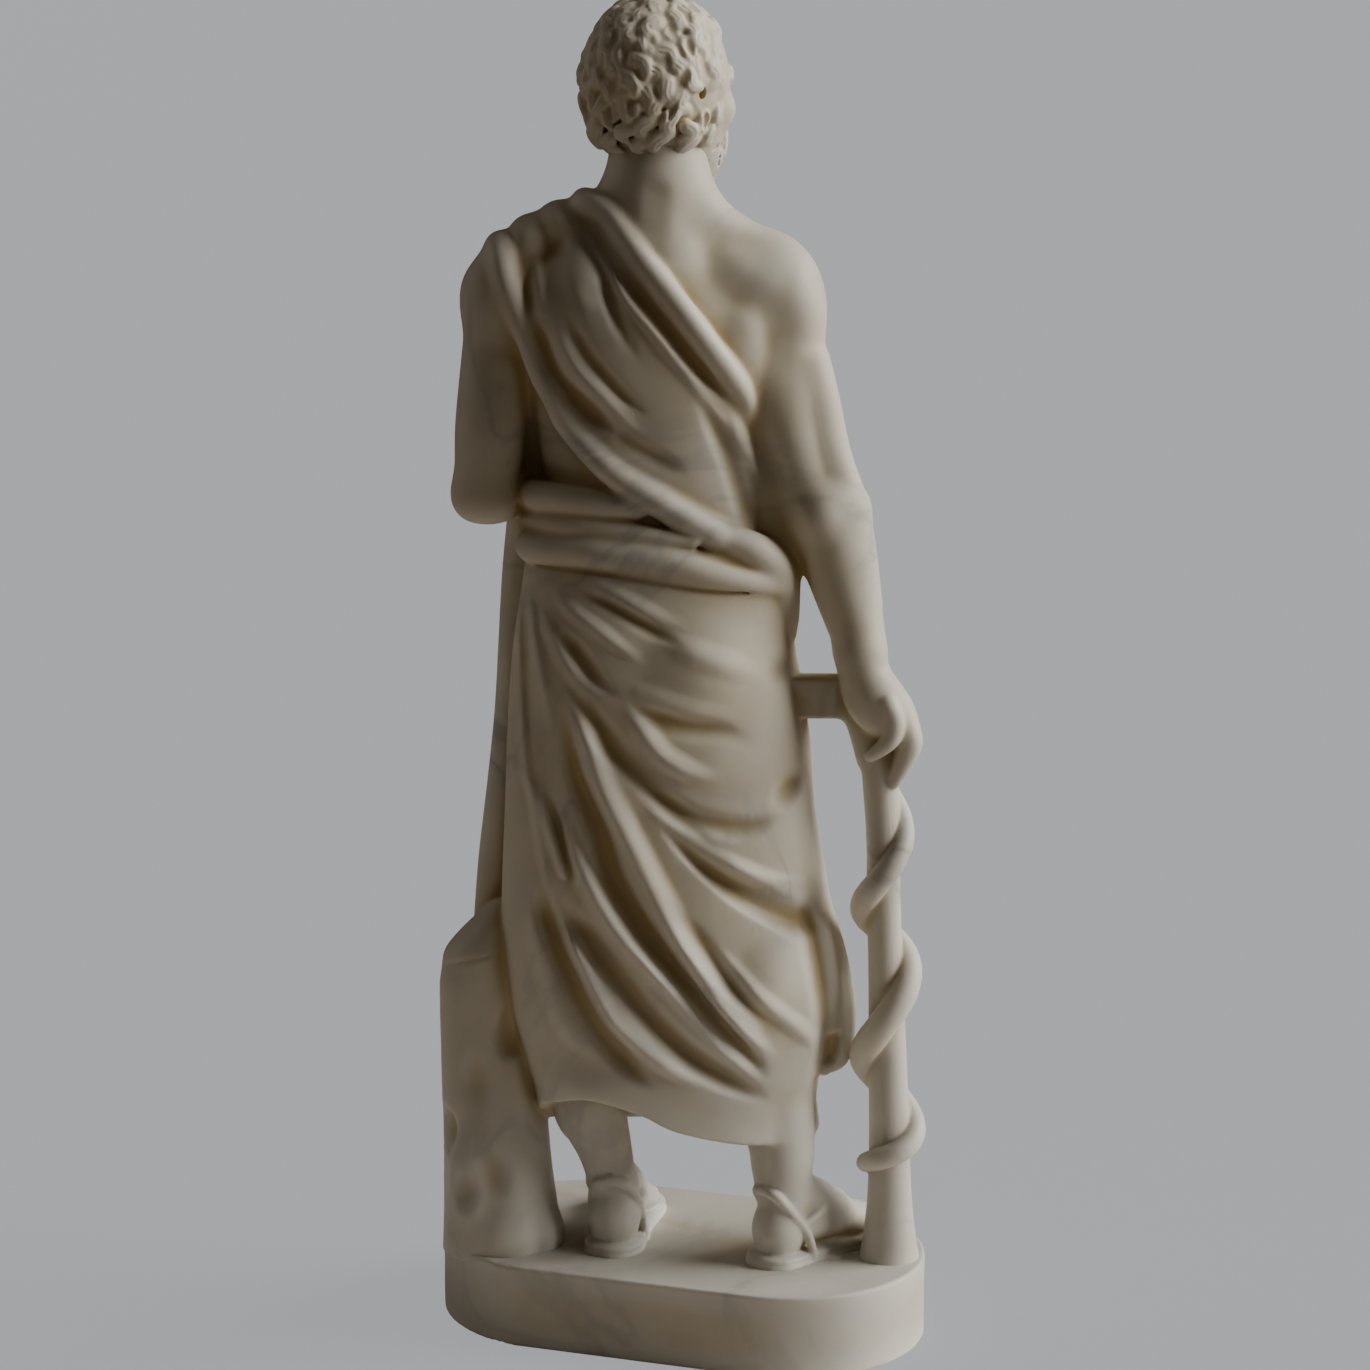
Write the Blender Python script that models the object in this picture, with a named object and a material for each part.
"""Marble statue of a draped, bearded man, carved in one block with its plinth.

The forms are laid down in millimetres as signed distances in a block of clay, as a carver
roughs out masses and then adds folds and locks. The skin of the clay becomes one mesh, which
a Decimate modifier thins, and a Boolean modifier joins to the plinth.

While it is shaped, the figure stands in its own frame: x towards its left hand, y out of its
back, z up. Its chest is turned by CHEST_TURN on the plinth, whose middle underside is the origin.
"""
import math

import bmesh
import bpy
import numpy as np

# Driving dimensions, in millimetres and degrees.
PLINTH_TOP = 47.0
PLINTH_STRAIGHT = 63.7
PLINTH_RADIUS = 78.0
PLINTH_EDGE = 1.6
PLINTH_SEGMENTS = 20
CHEST_TURN = 18.6
HEAD_TURN = 50.0
HEAD_MIDDLE = (12.0, 0.0, 702.0)
HIDDEN_FOOT = 6.0
CELL = 2.8
TRIANGLES = 9300
METRES = 0.001

# The solid goes this far from any form before its distances are no longer kept.
FAR = 60.0
UP = np.array([0.0, 0.0, 1.0])
MARBLE = (0.72, 0.69, 0.62, 1.0)

# Rounded sections: z, middle x, middle y, half width, half depth, squareness.
TRUNK = (
    (395, 14, 1, 62, 45, 2.2),
    (430, 14, 1, 61, 42, 2.2),
    (475, 15, 0, 60, 40, 2.2),
    (515, 17, 0, 63, 43, 2.2),
    (550, 19, 1, 67, 46, 2.3),
    (585, 20, 2, 68, 43, 2.3),
    (604, 20, 3, 62, 35, 2.2),
    (620, 18, 4, 46, 27, 2.0),
    (636, 15, 5, 28, 22, 2.0),
)
SKIRT = (
    (100, 2, 12, 74, 49, 2.3),
    (140, 4, 11, 79, 51, 2.3),
    (180, 8, 10, 86, 53, 2.3),
    (223, 10, 8, 88, 54, 2.3),
    (247, 12, 7, 87, 54, 2.3),
    (275, 13, 6, 86, 53, 2.3),
    (330, 14.5, 4, 82, 54, 2.3),
    (377, 16.5, 3, 77, 54, 2.3),
    (400, 17, 3, 75, 51, 2.3),
    (430, 14, 2, 73, 47, 2.3),
    (452, 13, 2, 69, 44, 2.3),
)
STUMP = (
    (38, 100, 0, 33, 33, 2.2),
    (60, 100, 0, 31.5, 31.5, 2.2),
    (90, 101, 0, 29, 28, 2.2),
    (130, 104, -1, 26, 26, 2.2),
    (175, 109, -1, 23, 24, 2.2),
    (213, 110, -2, 22, 22, 2.2),
    (226, 107.5, -2, 19.5, 20, 2),
    (237, 103, -2, 14, 15, 2),
    (246, 101, -2, 8, 9, 2),
)
# Staff: z, middle x, middle y, radius.
STAFF = (
    (40, -111, 31, 17.5),
    (58, -111, 31, 14.5),
    (100, -110.5, 30, 11.4),
    (180, -110, 29, 10.6),
    (262, -107.5, 28, 9.4),
    (320, -105.5, 27, 10.4),
    (352, -103, 26, 10),
)


def spline(points, steps):
    """Catmull-Rom curve through rows of numbers, with this many steps in each span."""
    rows = np.asarray(points, float)
    if len(rows) == 2:
        t = np.linspace(0, 1, steps + 1)[:, None]
        return rows[0] * (1 - t) + rows[1] * t
    ends = np.vstack([2 * rows[0] - rows[1], rows, 2 * rows[-1] - rows[-2]])
    t = np.linspace(0, 1, steps, endpoint=False)[:, None]
    spans = []
    for a, b, c, d in zip(ends, ends[1:], ends[2:], ends[3:]):
        cubic = 3 * b - a - 3 * c + d
        square = 2 * a - 5 * b + 4 * c - d
        spans.append(0.5 * (2 * b + (c - a) * t + square * t**2 + cubic * t**3))
    return np.vstack(spans + [rows[-1:]])


def melt(a, b, soft):
    """Smaller of two distances, rounded where they are closer than soft."""
    near = np.maximum(soft - np.abs(a - b), 0) / soft
    return np.minimum(a, b) - near * near * soft * 0.25


def smooth(t):
    """Ease from 0 to 1."""
    t = np.clip(t, 0, 1)
    return t * t * (3 - 2 * t)


def turned(yaw=0.0, roll=0.0):
    """Rotation by roll about y and then yaw about z, in degrees."""
    a = math.radians(yaw)
    b = math.radians(roll)
    about_z = np.array([[math.cos(a), -math.sin(a), 0], [math.sin(a), math.cos(a), 0], [0, 0, 1]])
    about_y = np.array([[math.cos(b), 0, math.sin(b)], [0, 1, 0], [-math.sin(b), 0, math.cos(b)]])
    return about_z @ about_y


class Clay:
    """Block of signed distances, worked by adding and cutting forms."""

    def __init__(self, low, high, cell):
        self.low = np.asarray(low, float)
        self.cell = cell
        counts = [int(math.ceil((h - l) / cell)) + 1 for l, h in zip(low, high)]
        self.axes = [(l + np.arange(n) * cell).astype(np.float32) for l, n in zip(low, counts)]
        self.field = np.full(counts, FAR, np.float32)

    def window(self, low, high):
        """Slices of the block between two corners, and their x, y and z."""
        cuts = []
        for axis, a, b in zip(self.axes, low, high):
            cuts.append(slice(*np.searchsorted(axis, [a, b])))
        x, y, z = (axis[cut] for axis, cut in zip(self.axes, cuts))
        return tuple(cuts), (x[:, None, None], y[None, :, None], z[None, None, :])

    def work(self, form, soft, carve):
        """Join a form to the clay, or carve it away, over a rounding of size soft."""
        pad = soft + 3 * self.cell + 2
        low, high = form.bounds()
        cuts, grid = self.window(np.asarray(low) - pad, np.asarray(high) + pad)
        if min(g.size for g in grid) < 2:
            return
        there = form.distance(grid)
        now = self.field[cuts]
        self.field[cuts] = -melt(-now, there, soft) if carve else melt(now, there, soft)

    def add(self, form, soft=4.0):
        self.work(form, soft, False)

    def cut(self, form, soft=2.0):
        self.work(form, soft, True)


class Ball:
    """Ellipsoid, with its axes turned by a rotation."""

    def __init__(self, centre, radii, spin=None):
        self.centre = np.asarray(centre, float)
        self.radii = np.asarray(radii, float) * np.ones(3)
        self.spin = np.eye(3) if spin is None else spin

    def bounds(self):
        reach = np.sqrt(((self.spin * self.radii) ** 2).sum(1))
        return self.centre - reach, self.centre + reach

    def distance(self, grid):
        x, y, z = (g - np.float32(c) for g, c in zip(grid, self.centre))
        size = 0
        slope = 0
        for row, radius in zip(self.spin.T.astype(np.float32), self.radii.astype(np.float32)):
            v = (row[0] * x + row[1] * y + row[2] * z) / radius
            size = size + v * v
            slope = slope + v * v / (radius * radius)
        size = np.sqrt(size)
        return size * (size - 1) / np.sqrt(np.maximum(slope, 1e-9))


class Block:
    """Box with rounded edges."""

    def __init__(self, centre, half, edge=2.0):
        self.centre = np.asarray(centre, float)
        self.half = np.asarray(half, float)
        self.edge = edge

    def bounds(self):
        return self.centre - self.half, self.centre + self.half

    def distance(self, grid):
        q = [np.abs(g - c) - h + self.edge for g, c, h in zip(grid, self.centre, self.half)]
        outside = np.sqrt(sum(np.maximum(v, 0) ** 2 for v in q))
        inside = np.minimum(np.maximum(np.maximum(q[0], q[1]), q[2]), 0)
        return outside + inside - self.edge


class Sweep:
    """Rope of changing radius along a smooth path; flat below 1 presses it thin along face."""

    REACH = 14.0

    def __init__(self, points, radii, steps=6, flat=1.0, face=(0, 1, 0)):
        points = np.asarray(points, float)
        radii = np.asarray(radii, float) * np.ones(len(points))
        both = spline(np.column_stack([points, radii]), steps)
        self.path = both[:, :3]
        self.radii = np.maximum(both[:, 3], 0.2)
        self.flat = flat
        self.face = np.asarray(face, float) / np.linalg.norm(face)

    def bounds(self):
        r = self.radii[:, None]
        return (self.path - r).min(0), (self.path + r).max(0)

    def distance(self, grid):
        axes = [g.ravel() for g in grid]
        out = np.full([len(a) for a in axes], FAR, np.float32)
        reach = self.REACH + 3 * float(axes[0][1] - axes[0][0])
        for a, b, ra, rb in zip(self.path, self.path[1:], self.radii, self.radii[1:]):
            low = np.minimum(a, b) - max(ra, rb) - reach
            high = np.maximum(a, b) + max(ra, rb) + reach
            cuts = [slice(*np.searchsorted(axis, [l, h])) for axis, l, h in zip(axes, low, high)]
            part = out[tuple(cuts)]
            if part.size:
                np.minimum(part, self.link(axes, cuts, a, b, ra, rb), out=part)
        return out

    def link(self, axes, cuts, a, b, ra, rb):
        """Distance to one straight, tapering piece of the rope."""
        x = axes[0][cuts[0]][:, None, None] - np.float32(a[0])
        y = axes[1][cuts[1]][None, :, None] - np.float32(a[1])
        z = axes[2][cuts[2]][None, None, :] - np.float32(a[2])
        way = (b - a).astype(np.float32)
        length2 = max(float(way @ way), 1e-6)
        t = np.clip((x * way[0] + y * way[1] + z * way[2]) / length2, 0, 1)
        x = x - way[0] * t
        y = y - way[1] * t
        z = z - way[2] * t
        far2 = x * x + y * y + z * z
        if self.flat != 1.0:
            n = x * self.face[0] + y * self.face[1] + z * self.face[2]
            far2 = far2 + n * n * (1 / self.flat**2 - 1)
        return np.sqrt(np.maximum(far2, 0)) - (ra + (rb - ra) * t)


class Loft:
    """Stack of rounded sections, with rounded ends, a relief on its sides and a shaped lower edge."""

    def __init__(self, sections, end=4.0, relief=None, floor=None):
        self.rows = np.asarray(sections, float)
        self.end = end
        self.relief = relief
        self.floor = floor

    def at(self, z):
        """Middle x and y, half width, half depth and squareness at heights z."""
        z = np.asarray(z, float)
        k = self.rows[:, 0]
        i = np.clip(np.searchsorted(k, z) - 1, 0, len(k) - 2)
        h = k[i + 1] - k[i]
        t = np.clip((z - k[i]) / h, 0, 1)
        out = []
        for column in self.rows[:, 1:].T:
            m = np.gradient(column, k)
            start = (2 * t**3 - 3 * t**2 + 1) * column[i] + (t**3 - 2 * t**2 + t) * h * m[i]
            finish = (3 * t**2 - 2 * t**3) * column[i + 1] + (t**3 - t**2) * h * m[i + 1]
            out.append(start + finish)
        return out

    def surface(self, x, z, lift=0.0):
        """Point on the back at x and z, lifted off it."""
        cx, cy, a, b, n = (float(v) for v in self.at(z))
        side = min(abs(x - cx) / a, 1.0)
        return np.array([x, cy + b * (1 - side**n) ** (1 / n) + lift, z])

    def bounds(self):
        r = self.rows
        pad = 14
        low = ((r[:, 1] - r[:, 3]).min() - pad, (r[:, 2] - r[:, 4]).min() - pad, r[0, 0])
        high = ((r[:, 1] + r[:, 3]).max() + pad, (r[:, 2] + r[:, 4]).max() + pad, r[-1, 0])
        return low, high

    def distance(self, grid):
        x, y, z = grid
        cx, cy, a, b, n = (v[None, None, :].astype(np.float32) for v in self.at(z.ravel()))
        dx = x - cx
        dy = y - cy
        r = np.sqrt(dx * dx + dy * dy) + 1e-3
        k = np.maximum(((np.abs(dx) / a) ** n + (np.abs(dy) / b) ** n) ** (1 / n), 1e-3)
        side = np.maximum(r * (1 - 1 / k), -np.minimum(a, b))
        if self.relief is not None:
            side = side - self.relief(x, z, dy / b)
        low = self.rows[0, 0] if self.floor is None else self.floor(x, y)
        cap = np.maximum(z - self.rows[-1, 0] + self.end, low + self.end - z)
        side = side + self.end
        corner = np.sqrt(np.maximum(side, 0) ** 2 + np.maximum(cap, 0) ** 2)
        return np.minimum(np.maximum(side, cap), 0) + corner - self.end


class Relief:
    """Heights over x and z, worked by strokes and domes, that stand on a loft."""

    STEP = 1.5

    def __init__(self, low, high):
        self.low = low
        counts = [int((h - l) / self.STEP) + 2 for l, h in zip(low, high)]
        self.x = (low[0] + np.arange(counts[0]) * self.STEP)[:, None]
        self.z = (low[1] + np.arange(counts[1]) * self.STEP)[None, :]
        self.map = np.zeros(counts, np.float32)

    def stroke(self, start, end, sag, height, widths, crease=False, taper=(0.25, 0.25)):
        """Fold, or valley for a height below 0, along an arc that sags to the left of its way.

        The widths are to the left and right of the way, and a crease has a sharp bottom.
        """
        start = np.asarray(start, float)
        way = np.asarray(end, float) - start
        left = np.array([-way[1], way[0]]) / np.hypot(*way)
        t = np.linspace(0, 1, 25)[:, None]
        path = start + way * t + left * sag * 4 * t * (1 - t)
        steps = np.hypot(*np.diff(path, axis=0).T)
        run = np.concatenate([[0], np.cumsum(steps)]) / steps.sum()
        best = np.full(self.map.shape, 1e9)
        where = np.zeros_like(best)
        hand = np.ones_like(best)
        for k, (a, b) in enumerate(zip(path, path[1:])):
            vx, vz = b - a
            px = self.x - a[0]
            pz = self.z - a[1]
            s = np.clip((px * vx + pz * vz) / (vx * vx + vz * vz), 0, 1)
            away = np.hypot(px - vx * s, pz - vz * s)
            near = away < best
            best = np.where(near, away, best)
            where = np.where(near, run[k] + (run[k + 1] - run[k]) * s, where)
            hand = np.where(near, vx * pz - vz * px, hand)
        fade = smooth(where / taper[0]) * smooth((1 - where) / taper[1])
        width = np.where(hand > 0, widths[0], widths[1]) * (0.55 + 0.45 * fade)
        s = np.clip(best / width, 0, 1)
        profile = (1 - s) ** 1.6 * (1 + 1.6 * s) if crease else (1 - s * s) ** 2
        self.map += (height * fade * profile).astype(np.float32)

    def dome(self, middle, radii, height, slant=0.0):
        """Oval swelling, or hollow for a height below 0."""
        c = math.cos(math.radians(slant))
        s = math.sin(math.radians(slant))
        x = self.x - middle[0]
        z = self.z - middle[1]
        r = np.clip(((x * c + z * s) / radii[0]) ** 2 + ((z * c - x * s) / radii[1]) ** 2, 0, 1)
        self.map += (height * (1 - r) ** 2).astype(np.float32)

    def look(self, x, z):
        """Heights on a grid of x and z."""
        fx = (x.ravel() - self.low[0]) / self.STEP
        fz = (z.ravel() - self.low[1]) / self.STEP
        i = np.clip(fx.astype(int), 0, self.map.shape[0] - 2)
        j = np.clip(fz.astype(int), 0, self.map.shape[1] - 2)
        u = np.clip(fx - i, 0, 1)[:, None]
        v = np.clip(fz - j, 0, 1)[None, :]
        near = self.map[np.ix_(i, j)] * (1 - u) + self.map[np.ix_(i + 1, j)] * u
        far = self.map[np.ix_(i, j + 1)] * (1 - u) + self.map[np.ix_(i + 1, j + 1)] * u
        return (near * (1 - v) + far * v)[:, None, :].astype(np.float32)


TRUNK_FORM = Loft(TRUNK, 6)


def skin(clay):
    """Surface nets: one point in each cell that the surface crosses, and four-sided faces."""
    f = clay.field
    inside = f < 0
    corners = [(i, j, k) for i in (0, 1) for j in (0, 1) for k in (0, 1)]

    def shifted(grid, corner):
        return grid[tuple(slice(c, n - 1 + c) for c, n in zip(corner, f.shape))]

    count = sum(shifted(inside, c).astype(np.int8) for c in corners)
    cells = np.nonzero((count > 0) & (count < 8))
    index = np.full(count.shape, -1, np.int32)
    index[cells] = np.arange(len(cells[0]), dtype=np.int32)
    value = {c: f[tuple(a + b for a, b in zip(cells, c))] for c in corners}
    total = np.zeros((len(cells[0]), 3))
    hits = np.zeros(len(cells[0]))
    for axis in range(3):
        for corner in corners:
            if corner[axis]:
                continue
            ahead = tuple(1 if d == axis else c for d, c in enumerate(corner))
            a = value[corner]
            b = value[ahead]
            cross = (a < 0) != (b < 0)
            t = np.where(cross, a / np.where(cross, a - b, 1), 0)
            for d in range(3):
                total[:, d] += np.where(cross, t if d == axis else corner[d], 0)
            hits += cross
    points = (np.column_stack(cells) + total / hits[:, None]) * clay.cell + clay.low
    faces = []
    for axis in range(3):
        near = [slice(1, -1)] * 3
        far = [slice(1, -1)] * 3
        near[axis] = slice(None, -1)
        far[axis] = slice(1, None)
        here = inside[tuple(near)]
        at = list(np.nonzero(here != inside[tuple(far)]))
        keep = here[tuple(at)]
        p, q = (k for k in range(3) if k != axis)
        at[p] = at[p] + 1
        at[q] = at[q] + 1
        ring = []
        for dp, dq in ((0, 0), (1, 0), (1, 1), (0, 1)):
            place = list(at)
            place[p] = place[p] - dp
            place[q] = place[q] - dq
            ring.append(index[tuple(place)])
        quad = np.column_stack(ring)
        turn = ~keep if axis != 1 else keep
        quad[turn] = quad[turn][:, ::-1]
        faces.append(quad)
    return points, np.vstack(faces)


def doubtful_codes():
    """Patterns of cell corners that would make the skin touch itself."""
    corners = [(i, j, k) for i in (0, 1) for j in (0, 1) for k in (0, 1)]

    def parts(chosen):
        left = set(chosen)
        pieces = 0
        while left:
            pieces += 1
            front = [left.pop()]
            while front:
                at = front.pop()
                near = [c for c in left if sum(abs(a - b) for a, b in zip(at, c)) == 1]
                left.difference_update(near)
                front.extend(near)
        return pieces

    table = np.zeros(256, bool)
    for code in range(256):
        full = [c for n, c in enumerate(corners) if code >> n & 1]
        empty = [c for c in corners if c not in full]
        bad = parts(full) > 1 or parts(empty) > 1
        for axis in range(3):
            for side in (0, 1):
                face = [c for c in corners if c[axis] == side]
                held = [c for c in face if c in full]
                opposite = len(held) == 2 and sum(abs(a - b) for a, b in zip(*held)) == 2
                bad = bad or opposite
        table[code] = bad
    return table


def heal(clay):
    """Fill the cells where the skin would touch itself."""
    table = doubtful_codes()
    f = clay.field
    corners = [(i, j, k) for i in (0, 1) for j in (0, 1) for k in (0, 1)]
    for _ in range(40):
        inside = f < 0
        code = np.zeros([n - 1 for n in f.shape], np.int16)
        for n, c in enumerate(corners):
            view = inside[tuple(slice(s, size - 1 + s) for s, size in zip(c, f.shape))]
            code += view.astype(np.int16) << n
        bad = np.nonzero(table[code])
        if not len(bad[0]):
            return
        for c in corners:
            place = tuple(b + s for b, s in zip(bad, c))
            f[place] = np.where(f[place] >= 0, -0.05 * clay.cell, f[place])


def largest(points, faces):
    """The points and faces of the outer skin alone, without loose crumbs or inner bubbles."""
    label = np.arange(len(points))
    while True:
        low = label[faces].min(1)
        new = label.copy()
        for k in range(4):
            np.minimum.at(new, faces[:, k], low)
        new = new[new]
        if (new == label).all():
            break
        label = new
    main = np.bincount(label).argmax()
    keep = label == main
    number = np.cumsum(keep) - 1
    return points[keep], number[faces[keep[faces[:, 0]]]]


def stump(clay):
    """Tree stump that props the left side, cut on a slant at the top, with worn bark."""
    clay.add(Loft(STUMP, 5), 4)
    clay.cut(Sweep([(128, 22, 211), (118, 24, 212), (110, 23, 216), (103, 21, 222)], [1.2, 1.6, 1.6, 1.0]), 1.5)
    for x, top, foot, radius in ((118, 205, 80, 2.4), (103, 190, 70, 3.0), (90, 160, 70, 2.4)):
        furrow = [(x, 30, top), (x - 3, 29, (top + foot) / 2), (x - 8, 34, foot)]
        clay.cut(Sweep(furrow, [radius * 0.5, radius, radius * 0.6]), 6)
    clay.add(Ball((77, 12, 54), (11, 14, 12)), 8)
    clay.add(Ball((99, 27, 56), (14, 8, 14)), 8)


def staff(clay):
    """Staff under the right hand, and the marble strut from it to the hip."""
    rows = np.array(STAFF, float)
    clay.add(Sweep(rows[:, [1, 2, 0]], rows[:, 3]), 2)
    clay.add(Block((-76, 18, 368.5), (28, 9, 11.5)), 1.5)
    clay.add(Sweep([(-94, 20, 362), (-100, 22, 352), (-103, 25, 334)], [5, 7, 8]), 5)


def snake(clay):
    """Snake that winds up the staff in four turns and loses itself under the hand."""
    heights = (344, 318, 294.7, 251, 215, 165, 122.4, 104, 97)
    angles = (360, 270, 180, 0, -180, -360, -540, -700, -760)
    z, angle = spline(np.column_stack([heights, angles]), 12).T
    angle = np.radians(angle)
    t = np.linspace(0, 1, len(z))
    rows = np.array(STAFF, float)
    x, y, core = (np.interp(z, rows[:, 0], rows[:, k]) for k in (1, 2, 3))
    body = np.interp(t, [0, 0.12, 0.5, 0.8, 0.93, 1], [7, 8.6, 8.2, 6.6, 4.8, 1.8])
    reach = core + body * 0.42
    path = np.column_stack([x + reach * np.cos(angle), y + reach * np.sin(angle), z])
    clay.add(Sweep(path, body, 1), 0.8)


def foot(clay, heel, heading, ankle):
    """Sandalled foot from the back of its heel, turned out by heading."""
    a = math.radians(heading)
    ahead = np.array([-math.sin(a), -math.cos(a), 0])
    side = np.array([ahead[1], -ahead[0], 0])
    base = np.array([heel[0], heel[1], PLINTH_TOP])
    ankle = np.array(ankle, float)

    def at(length, width, height):
        return base + ahead * length + side * width + UP * height

    sole = [at(14, 0, 4), at(45, 1, 4), at(78, 0, 4), at(88, 0, 4)]
    clay.add(Sweep(sole, [17, 15, 19, 15], flat=0.32, face=UP), 0.8)
    clay.add(Block(at(45, 0, -3), (16, 20, 5), 4), 2)
    clay.add(Sweep([at(15, 0, 13), at(15, 0, 21), at(18, 0, 34), ankle], [13.5, 14, 12, 12]), 2)
    clay.add(Sweep([at(16, 0, 19), at(45, 1, 19), at(75, 1, 12)], [13, 13, 9.5]), 5)
    clay.add(Sweep([ankle, at(32, 0, 36), at(54, 1, 24)], [12, 12, 11]), 5)
    clay.add(Ball(at(70, 0, 11), (17, 17, 8)), 4)
    for toe in range(5):
        out = -12 + toe * 5.8
        tip = 88 - abs(toe - 1) * 3.5
        radius = 3.7 if toe else 4.8
        clay.add(Sweep([at(72, out * 0.9, 12), at(tip, out, 12), at(tip + 5, out, 9)], [radius, radius, radius * 0.9]), 0.6)
    for hand in (-1, 1):
        clay.add(Ball(ankle + side * hand * 10.5 - UP, 4.5), 3)
        strap = [at(1.5, 0, 37), at(6, hand * 10, 34), at(18, hand * 15, 24), at(31, hand * 16, 13), at(36, hand * 16, 4)]
        clay.add(Sweep(strap, 2.4, flat=0.6, face=side), 0.5)
        instep = [at(33, hand * 15.5, 10), at(42, hand * 12, 24), at(48, hand * 4, 31), at(50, 0, 32)]
        clay.add(Sweep(instep, 2.6), 0.5)


def legs(clay):
    """Shins and sandalled feet below the hem."""
    clay.add(Sweep([(40, 13, 84), (43, 14, 105), (50, 12, 150), (50, 0, 250)], [12.5, 14.5, 22, 24]), 4)
    clay.add(Sweep([(-57, 34, 84), (-55, 33, 105), (-50, 26, 150), (-40, 6, 250)], [14, 16.5, 22, 24]), 4)
    foot(clay, (40, 38), 25, (40, 13, 86))
    foot(clay, (-46, 52), 50, (-57, 34, 86))


def back_folds():
    """Folds that fan from the left of the waist and swing down across the back of the skirt."""
    relief = Relief((-115, 80), (125, 465))
    stroke = relief.stroke
    soft = (0.35, 0.45)
    # Short folds below the waist.
    stroke((74, 438), (12, 392), -4, 5.5, (11, 10), taper=soft)
    stroke((60, 444), (-8, 402), -2, 4.5, (9, 9), taper=soft)
    stroke((68, 440), (6, 402), -3, -4.5, (5, 6), True, (0.2, 0.5))
    stroke((72, 424), (30, 374), -2, -6, (7, 8), True, (0.2, 0.5))
    stroke((76, 428), (26, 338), 6, 5.5, (12, 11), taper=soft)
    # Long folds down the left thigh.
    stroke((84, 410), (74, 290), 2, 3.5, (9, 8), taper=(0.3, 0.3))
    stroke((80, 330), (62, 262), 2, 4.5, (7, 7), taper=soft)
    stroke((80, 410), (22, 248), 9, -8, (10, 9), True, (0.3, 0.4))
    stroke((66, 400), (4, 250), 6, 6.5, (15, 16), taper=(0.4, 0.4))
    # Folds pulled towards the staff.
    stroke((34, 366), (-34, 322), 5, 5, (11, 12), taper=soft)
    stroke((26, 322), (-56, 284), 11, 5.5, (12, 12), taper=soft)
    stroke((36, 350), (-36, 300), 11, -4.5, (10, 10), taper=soft)
    stroke((10, 296), (-84, 232), 1, -6, (14, 14), taper=(0.35, 0.3))
    stroke((4, 246), (-86, 170), 5, 5.5, (14, 15), taper=(0.4, 0.3))
    # Bundle of long folds above the hem.
    stroke((34, 300), (-60, 156), 7, 5.5, (9, 9), taper=(0.3, 0.25))
    stroke((47, 300), (-48, 164), 8, -7.5, (9, 8), True, (0.3, 0.25))
    stroke((64, 290), (-48, 146), 11, 6.5, (9, 9), taper=(0.3, 0.2))
    stroke((52, 244), (-30, 154), 5, -5.5, (7, 7), True, (0.3, 0.3))
    stroke((68, 262), (-30, 142), 11, 6, (10, 10), taper=(0.3, 0.2))
    stroke((84, 280), (10, 156), 12, -7.5, (10, 12), True, (0.25, 0.35))
    stroke((14, 240), (-66, 162), 5, -4, (7, 8), taper=soft)
    # Broad swellings and hollows.
    relief.dome((-14, 392), (38, 34), 4)
    relief.dome((52, 190), (30, 40), 3)
    relief.dome((-60, 322), (12, 18), -5, 20)
    relief.dome((-82, 200), (18, 44), -6, -10)
    relief.dome((-20, 336), (34, 26), 2)
    return relief


def front_folds():
    """Plainer folds down the front of the skirt, drawn towards the left hip."""
    relief = Relief((-115, 80), (125, 465))
    for n, (x, top) in enumerate(((78, 430), (60, 436), (40, 438), (18, 436), (-6, 430), (-28, 424))):
        relief.stroke((x, top), (x - 46 + n * 2, 128), -10 + n, 5.5, (9, 9), taper=(0.2, 0.1))
        relief.stroke((x - 11, top), (x - 56 + n * 2, 130), -10 + n, -4, (6, 6), True, (0.25, 0.1))
    relief.dome((-30, 250), (26, 60), 6, 5)
    return relief


def hem(x, y):
    """Height of the skirt's lower edge, which rises over the left heel."""
    return 119 + np.exp(-(((x - 34) / 34) ** 2)) * 20 * np.clip((y - 5) / 35, 0, 1)


def skirt(clay):
    """Mantle wrapped round the hips to the shins."""
    back = back_folds()
    front = front_folds()

    def relief(x, z, depth):
        on_back = smooth(depth / 0.5 + 0.3)
        on_front = smooth(-depth / 0.5 + 0.3)
        return back.look(x, z) * on_back + front.look(x, z) * on_front

    clay.add(Loft(SKIRT, 2.5, relief, hem), 3)
    edge = [(-66, 14, 322), (-71, 15, 285), (-80, 17, 245), (-87, 18, 210), (-88, 18, 172)]
    clay.add(Sweep(edge, [6, 6.5, 7, 8, 9]), 7)
    clay.add(Sweep([(-60, 4, 310), (-66, 2, 260), (-74, 2, 215), (-78, 4, 176)], [10, 14, 16, 16]), 8)


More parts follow.
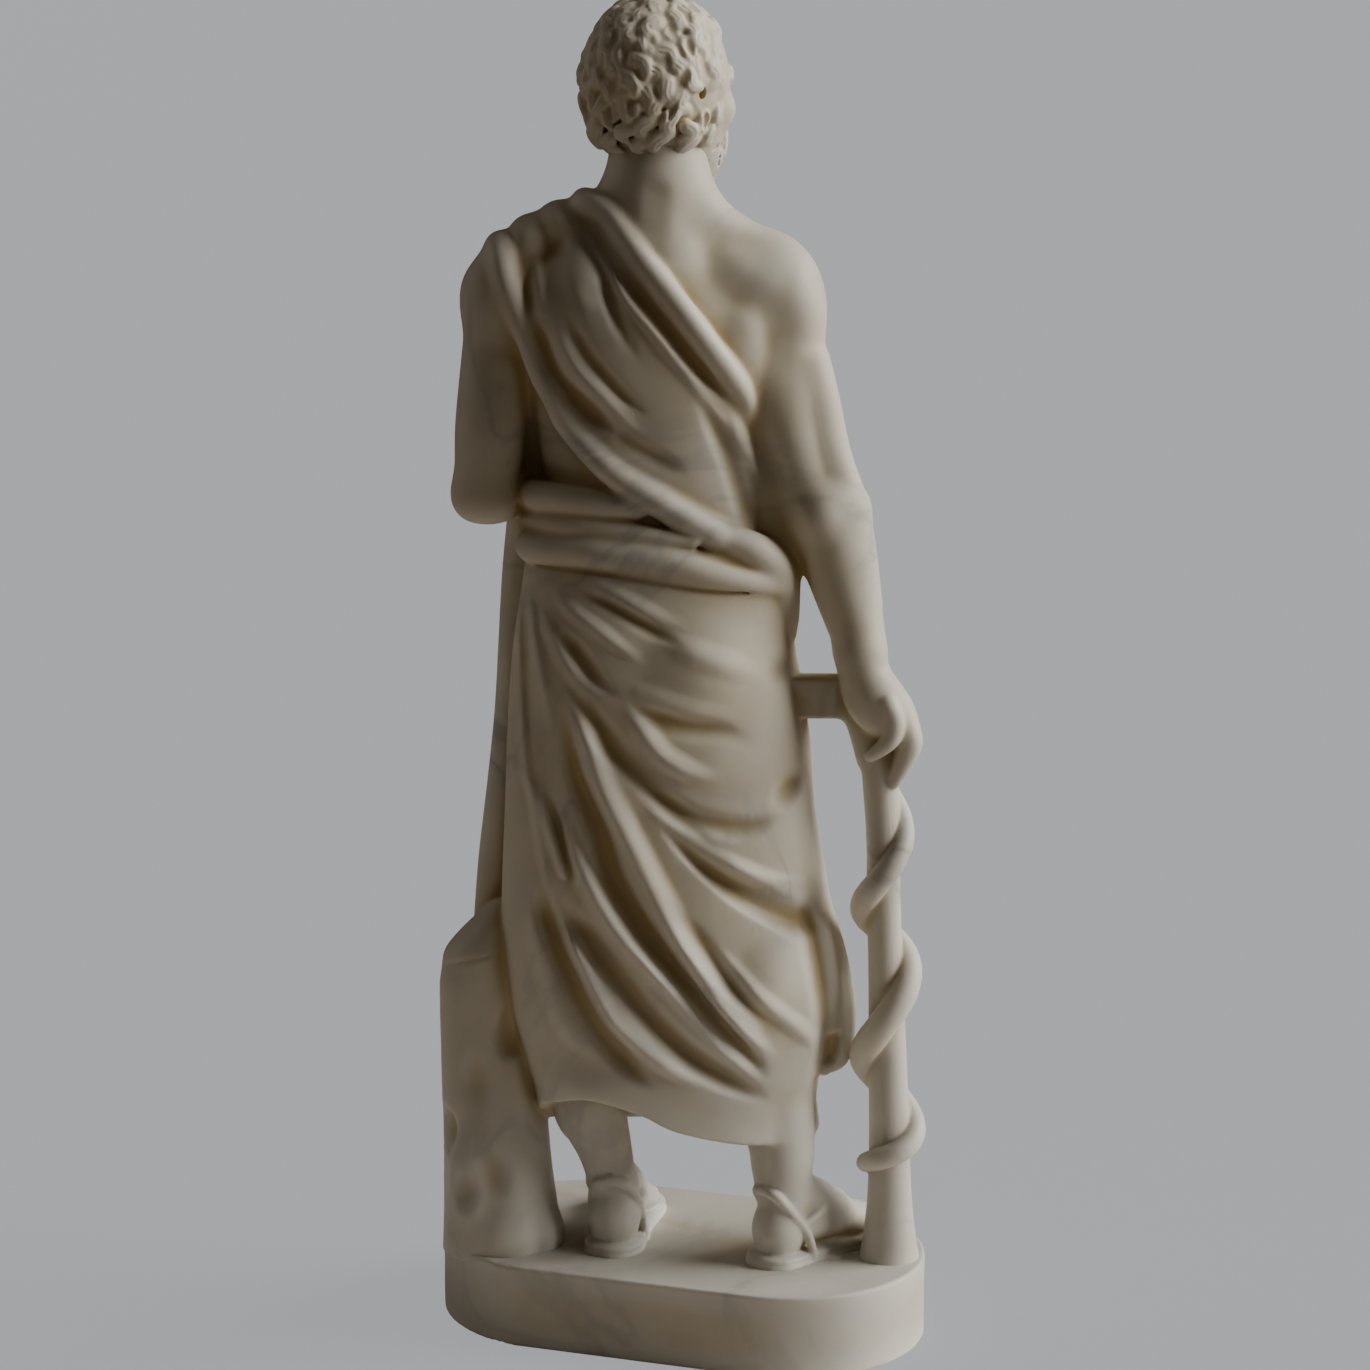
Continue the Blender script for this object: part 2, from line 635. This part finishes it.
def body(clay):
    """Chest, back, neck and the slopes of the shoulders."""
    clay.add(TRUNK_FORM, 6)
    clay.add(Sweep([(15, 6, 606), (13, 4, 636), (12, 1, 662), (12, -4, 690)], [32, 25.5, 26, 26]), 10)
    clay.add(Sweep([(10, 8, 648), (-14, 10, 628), (-42, 6, 610)], [15, 14, 15]), 12)
    clay.add(Sweep([(18, 8, 644), (46, 8, 624), (80, 4, 606)], [15, 13, 14]), 12)
    # Shoulder blade, spine and flank.
    clay.add(Ball((-22, 36, 572), (20, 12, 28), turned(roll=-20)), 16)
    clay.cut(Sweep([(14, 33, 652), (15, 43, 628), (15, 53, 604), (14, 56, 570)], [3, 4, 5, 4]), 10)
    clay.add(Sweep([(-34, 24, 572), (-38, 22, 545), (-42, 20, 522), (-40, 18, 496)], [14, 14, 13, 12]), 10)
    # Chest and belly.
    clay.add(Ball((-10, -32, 576), (25, 11, 18)), 12)
    clay.add(Ball((42, -30, 576), (24, 11, 18)), 12)
    clay.add(Ball((16, -30, 510), (28, 12, 30)), 14)
    clay.cut(Sweep([(16, -47, 590), (16, -47, 550), (16, -46, 505)], [1.5, 2, 1.5]), 8)


def arms(clay):
    """Right arm on the staff and left arm bent under the mantle."""
    clay.add(Ball((-47, 5, 586), (27, 25, 29)), 12)
    clay.add(Sweep([(-52, 8, 588), (-57, 10, 560), (-60, 12, 535)], [23, 22, 20]), 8)
    clay.add(Sweep([(-52, 14, 566), (-59, 16, 535), (-66, 17, 505), (-73, 15, 482)], [14, 19, 18, 14]), 7)
    clay.add(Sweep([(-62, 2, 560), (-68, 3, 530), (-73, 6, 500), (-76, 10, 480)], [17, 19, 18, 15]), 7)
    clay.add(Ball((-79, 25, 470), (9, 8, 10)), 6)
    forearm = [(-74, 14, 484), (-81, 16, 458), (-87, 20, 425), (-93, 24, 394), (-97, 26, 382)]
    clay.add(Sweep(forearm, [18, 20.5, 18, 13.5, 12.5]), 6)
    clay.add(Sweep([(-84, 10, 482), (-90, 12, 460), (-93, 16, 432), (-97, 22, 400)], [12, 15, 13, 9]), 6)
    # Hand closed over the head of the staff.
    clay.add(Sweep([(-97, 26, 386), (-105, 29, 372), (-112, 30, 360)], [12, 13.5, 13]), 5)
    clay.add(Ball((-117, 29, 356), (11, 13, 15), turned(roll=20)), 5)
    thumb = [(-110, 38, 368), (-115, 43, 356), (-114, 45, 345), (-104, 42, 338), (-100, 40, 336)]
    clay.add(Sweep(thumb, [6, 6.5, 6, 4.8, 4]), 1.6)
    for x, y, length in ((-119, 34, 34), (-120, 26, 36), (-116, 18, 34)):
        lean = (34 - y) * 0.2
        finger = [(x, y, 361), (x - 5, y + 1 - lean, 349), (x - 3, y + 3 - lean * 2, 336), (x + 2, y + 3 - lean * 2, 361 - length)]
        clay.add(Sweep(finger, [7, 6.5, 6, 5]), 1.6)
    # Left arm and hand.
    clay.add(Ball((92, 3, 585), (26.5, 25, 29)), 12)
    clay.add(Sweep([(95, 4, 586), (102, 4, 550), (105, 5, 515), (107, 4, 484)], [22, 19, 19.5, 18]), 8)
    clay.add(Sweep([(100, 12, 548), (104, 14, 520), (106, 12, 494)], [12, 13, 11]), 7)
    clay.add(Ball((107, 10, 482), (14, 12, 14)), 6)
    clay.add(Sweep([(82, -14, 566), (86, -14, 520), (88, -12, 478)], [13, 14, 13]), 6)
    clay.add(Sweep([(107, 3, 482), (103, -22, 482), (93, -52, 487), (84, -70, 490)], [18.5, 18, 14.5, 11]), 6)
    clay.add(Sweep([(86, -68, 491), (78, -82, 494), (70, -86, 490)], [12, 12, 9]), 4)


class Cloth:
    """Cloth on the back of the trunk, between slanting edges, with its folds."""

    def __init__(self, thickness, relief, edges):
        self.thickness = thickness
        self.relief = relief
        self.edges = edges

    def bounds(self):
        return (-66, -10, 420), (112, 66, 655)

    def distance(self, grid):
        x, y, z = grid
        out = TRUNK_FORM.distance(grid) - self.thickness - self.relief.look(x, z)
        for (px, pz), (qx, qz) in self.edges:
            vx = qx - px
            vz = qz - pz
            out = np.maximum(out, ((z - pz) * vx - (x - px) * vz) / math.hypot(vx, vz))
        return np.maximum(out, -y)


def cloak(clay):
    """Mantle over the left shoulder: a sheet down the back, rolled at its edges."""
    relief = Relief((-80, 410), (120, 660))
    stroke = relief.stroke
    stroke((58, 637), (-24, 532), 1, -5, (5, 6), True, (0.1, 0.3))
    stroke((70, 634), (-22, 527), -2, 4.5, (6, 7), taper=(0.1, 0.3))
    stroke((76, 630), (22, 548), -6, -4.5, (7, 7), True, (0.1, 0.4))
    stroke((60, 600), (26, 540), -2, 3.5, (12, 14))
    stroke((86, 627), (30, 536), 6, 4.5, (6, 7), taper=(0.1, 0.3))
    stroke((92, 622), (46, 530), 6, -3.5, (5, 5), True, (0.1, 0.3))
    stroke((97, 624), (68, 556), 1, 3.5, (6, 6), taper=(0.1, 0.3))
    stroke((66, 567), (8, 504), 3, 4.5, (6, 7))
    stroke((78, 560), (8, 500), 7, -5.5, (6, 7), True)
    stroke((10, 500), (-48, 458), 5, -3.5, (7, 7), True)
    stroke((2, 534), (-44, 468), 0, 3, (8, 9))
    stroke((-16, 528), (-50, 480), 0, -3, (6, 6), True)
    lower = ((110, 640), (84, 568), (56, 521), (1, 477), (-60, 440))
    edges = [((-31, 527), (49, 647))] + list(zip(lower, lower[1:]))
    clay.add(Cloth(4.5, relief, edges), 2)

    def roll(points, radii, soft=3.5, lift=4.0):
        path = [TRUNK_FORM.surface(*p, lift) if len(p) == 2 else np.array(p, float) for p in points]
        clay.add(Sweep(path, radii), soft)

    top = [(50, -26, 624), (51, -6, 636), (50, 14, 637), (36, 628), (15, 602), (-6, 573), (-22, 550), (-32, 535)]
    roll(top, [7, 8, 8, 8, 8, 8, 7.5, 6])
    roll([(66, -22, 618), (66, -4, 629), (66, 14, 629), (54, 34, 616)], [7, 8, 8, 5], 6)
    roll([(83, -20, 610), (83, -3, 622), (82, 14, 620), (74, 30, 604)], [7, 8, 8, 5], 6)
    roll([(98, -18, 599), (98, -2, 611), (97, 14, 608), (88, 588)], [7, 7.5, 7, 5], 6)
    low = [(99, 12, 604), (93, 22, 590), (86, 574), (74, 548), (56, 521), (30, 496), (1, 477)]
    low += [(-29, 462), (-50, 446), (-59, 14, 424), (-60, 2, 410)]
    roll(low, [5, 6, 6.5, 7.5, 9, 10, 10, 9.5, 9, 8, 7], lift=3.5)
    # Folds down the chest to the left forearm.
    roll([(50, -26, 630), (54, -44, 596), (62, -52, 550), (76, -56, 506)], [7, 7.5, 8, 8])
    roll([(66, -22, 624), (70, -40, 590), (78, -48, 550), (88, -54, 506)], [8, 9, 10, 10], 5)
    roll([(84, -20, 614), (86, -34, 580), (92, -42, 545), (98, -46, 506)], [8, 9, 10, 10], 5)


def waist(clay):
    """Twisted rolls of the mantle round the waist."""
    for height, slope, radius, grow in ((482, 0.06, 6.5, 1.5), (471, 0.12, 6.5, 3.5), (459, 0.17, 6, 3.5), (443, 0.2, 9.5, 3)):
        x, y, wide, deep, _ = (float(v) for v in TRUNK_FORM.at(height))
        turn = np.linspace(0, 2 * math.pi, 49)
        c = np.cos(turn)
        s = np.sin(turn)
        along = (wide + grow) * np.sign(c) * np.abs(c) ** 0.9
        back = (deep + grow) * np.sign(s) * np.abs(s) ** 0.9
        path = np.column_stack([x + along, y + back, height + slope * along])
        clay.add(Sweep(path, radius * (1 + 0.06 * np.sin(3 * turn + height)), 1), 2.5)


def drape(clay):
    """End of the mantle that hangs from the left forearm to the stump."""
    outer = np.array([(82, -38, 474), (84, -36, 430), (88, -34, 380), (91, -32, 330), (97, -28, 280), (102, -24, 232)])
    clay.add(Sweep(outer, [11, 11, 11, 11.5, 13, 15]), 5)
    clay.add(Sweep(outer + (-4, -17, 0), [11, 12, 12, 13, 14, 15]), 4)
    inner = outer + (-16, -26, 0)
    inner[-1] = (82, -52, 226)
    clay.add(Sweep(inner, [9, 10, 11, 12, 13, 11]), 4)


def head(clay):
    """Head turned to the right, with a plain bearded face on even proportions."""
    a = math.radians(HEAD_TURN)
    ahead = np.array([-math.sin(a), -math.cos(a), 0])
    left = np.array([-ahead[1], ahead[0], 0])
    spin = np.column_stack([left, -ahead, UP])

    def at(forward, sideways, up):
        return np.array(HEAD_MIDDLE) + ahead * forward + left * sideways + UP * up

    clay.add(Ball(at(-2, 0, 2.5), (34, 37.5, 39), spin), 8)
    clay.add(Ball(at(12, 0, -20), (27, 27, 34), spin), 10)
    clay.add(Ball(at(4, 0, -24), (28, 24, 22), spin), 8)
    for side in (-1, 1):
        clay.cut(Ball(at(40, side * 12, -1), (8, 6, 5.5), spin), 4)
        brow = [at(37.5, side * 5, 5), at(37.5, side * 13, 7), at(31, side * 22, 3)]
        clay.add(Sweep(brow, [2.6, 3.2, 2.6]), 3)
        clay.add(Ball(at(32.5, side * 12.5, -1.5), 5.2), 1)
        clay.add(Ball(at(27, side * 17, -14), (10, 9, 9), spin), 7)
        clay.add(Ball(at(41, side * 4.6, -18.5), 3.2), 1.5)
    clay.add(Sweep([at(37, 0, 3), at(41.5, 0, -8), at(45.5, 0, -17)], [3, 3.4, 4.2]), 3)
    clay.add(Sweep([at(38, -8, -31.5), at(41.5, 0, -31.5), at(38, 8, -31.5)], [2.2, 3, 2.2]), 1.5)
    clay.add(Ball(at(26, 0, -40), (21, 17, 18), spin), 6)
    hair(clay, at, (left, ahead, UP))
    beard(clay, at, left, ahead)


def hair(clay, at, axes):
    """Short comma locks over the skull, spread by the golden angle."""
    rng = np.random.default_rng(7)
    locks = 210
    golden = math.pi * (3 - math.sqrt(5))
    for n in range(locks):
        up = 1 - 2 * (n + 0.5) / locks
        ring = math.sqrt(1 - up * up)
        place = np.array([ring * math.cos(golden * n), ring * math.sin(golden * n), up])
        swing = rng.uniform(-1.1, 1.1)
        bend = rng.choice([-1, 1]) * rng.uniform(0.9, 1.6)
        if (place[1] > 0.45 and up < 0.62) or up < -0.62:
            continue
        middle = at(-2, 0, 2.5) + sum(v * s * e for v, s, e in zip(axes, (35.5, 39, 40.5), place))
        normal = sum(v / s * e for v, s, e in zip(axes, (35.5, 39, 40.5), place))
        normal /= np.linalg.norm(normal)
        down = normal * normal[2] - UP
        if np.linalg.norm(down) < 0.2:
            down = axes[1] - normal * (normal @ axes[1])
        down /= np.linalg.norm(down)
        first = down * math.cos(swing) + np.cross(normal, down) * math.sin(swing)
        last = first * math.cos(bend) + np.cross(normal, first) * math.sin(bend)
        lock = [
            middle - first * 5.5 - normal,
            middle + normal * 1.4,
            middle + first * 4 + last * 2.2 + normal * 1.8,
            middle + first * 4.4 + last * 6,
        ]
        clay.add(Sweep(lock, [2.2, 3.5, 3.1, 1.5], 3), 0.8)


def beard(clay, at, left, ahead):
    """Rows of short locks from ear to ear."""
    rng = np.random.default_rng(11)
    for row, (height, reach, count, length) in enumerate(((-22, 27, 9, 8), (-32, 31, 11, 9), (-42, 33, 11, 10), (-50, 31, 7, 8))):
        for k in range(count):
            angle = math.radians(-78 + 156 * k / (count - 1))
            curl = rng.choice([-1, 1])
            if row == 0 and abs(angle) < 0.75:
                continue
            root = at(10 + math.cos(angle) * reach, math.sin(angle) * (27 - row * 2.5), height)
            out = ahead * math.cos(angle) + left * math.sin(angle)
            side = np.cross(UP, out) * curl
            lock = [root, root + out * 2.5 + side * 1.5 - UP * 3, root + out * 2 + side * 3 - UP * length * 0.8, root - UP * length]
            clay.add(Sweep(lock, [2.6, 3.2, 2.6, 1.4], 3), 0.8)
    for side in (-1, 1):
        moustache = [at(43, side, -25), at(41.5, side * 6, -28), at(36, side * 13, -35), at(33, side * 15, -40)]
        clay.add(Sweep(moustache, [2.6, 3, 2.6, 1.6]), 0.8)


def figure_mesh():
    """Mesh of everything that stands on the plinth, in metres in the plinth's frame."""
    clay = Clay((-165, -115, PLINTH_TOP - HIDDEN_FOOT - 2 * CELL), (165, 115, 758), CELL)
    for shape in (legs, skirt, body, drape, stump, waist, arms, cloak, head, staff, snake):
        shape(clay)
    below = clay.axes[2] < PLINTH_TOP - HIDDEN_FOOT
    clay.field[:, :, below] = FAR
    heal(clay)
    points, faces = largest(*skin(clay))
    a = math.radians(CHEST_TURN)
    spin = np.array([[math.cos(a), math.sin(a), 0], [-math.sin(a), math.cos(a), 0], [0, 0, 1]])
    mesh = bpy.data.meshes.new("statue")
    mesh.from_pydata(((points @ spin) * METRES).tolist(), [], faces.tolist())
    for polygon in mesh.polygons:
        polygon.use_smooth = True
    return mesh


def plinth_guide():
    """Plinth with round ends and softened edges, which the figure is joined to."""
    build = bmesh.new()
    outline = []
    for side in (1, -1):
        for n in range(PLINTH_SEGMENTS + 1):
            angle = math.pi * (n / PLINTH_SEGMENTS - 0.5)
            x = side * (PLINTH_STRAIGHT + PLINTH_RADIUS * math.cos(angle))
            y = side * PLINTH_RADIUS * math.sin(angle)
            outline.append(build.verts.new((x * METRES, y * METRES, 0)))
    base = build.faces.new(outline)
    raised = bmesh.ops.extrude_face_region(build, geom=[base])
    top = [v for v in raised["geom"] if isinstance(v, bmesh.types.BMVert)]
    bmesh.ops.translate(build, verts=top, vec=(0, 0, PLINTH_TOP * METRES))
    bmesh.ops.recalc_face_normals(build, faces=build.faces)
    rim = [e for e in build.edges if all(v.co.z > PLINTH_TOP * METRES * 0.5 for v in e.verts)]
    bmesh.ops.bevel(build, geom=rim, offset=PLINTH_EDGE * METRES, segments=2, affect="EDGES", profile=0.5)
    mesh = bpy.data.meshes.new("plinth")
    build.to_mesh(mesh)
    build.free()
    guide = bpy.data.objects.new("plinth guide", mesh)
    bpy.context.scene.collection.objects.link(guide)
    guide.display_type = "WIRE"
    guide.hide_render = True
    return guide


def marble():
    """Cream marble."""
    material = bpy.data.materials.new("marble")
    material.use_nodes = True
    shader = material.node_tree.nodes["Principled BSDF"]
    shader.inputs["Base Color"].default_value = MARBLE
    shader.inputs["Roughness"].default_value = 0.45
    shader.inputs["Metallic"].default_value = 0.0
    material.diffuse_color = MARBLE
    return material


def main():
    for thing in list(bpy.data.objects):
        bpy.data.objects.remove(thing, do_unlink=True)
    statue = bpy.data.objects.new("statue", figure_mesh())
    bpy.context.scene.collection.objects.link(statue)
    statue.data.materials.append(marble())
    thin = statue.modifiers.new("thin", "DECIMATE")
    thin.ratio = TRIANGLES / (2 * len(statue.data.polygons))
    join = statue.modifiers.new("join", "BOOLEAN")
    join.operation = "UNION"
    join.solver = "EXACT"
    join.object = plinth_guide()


main()
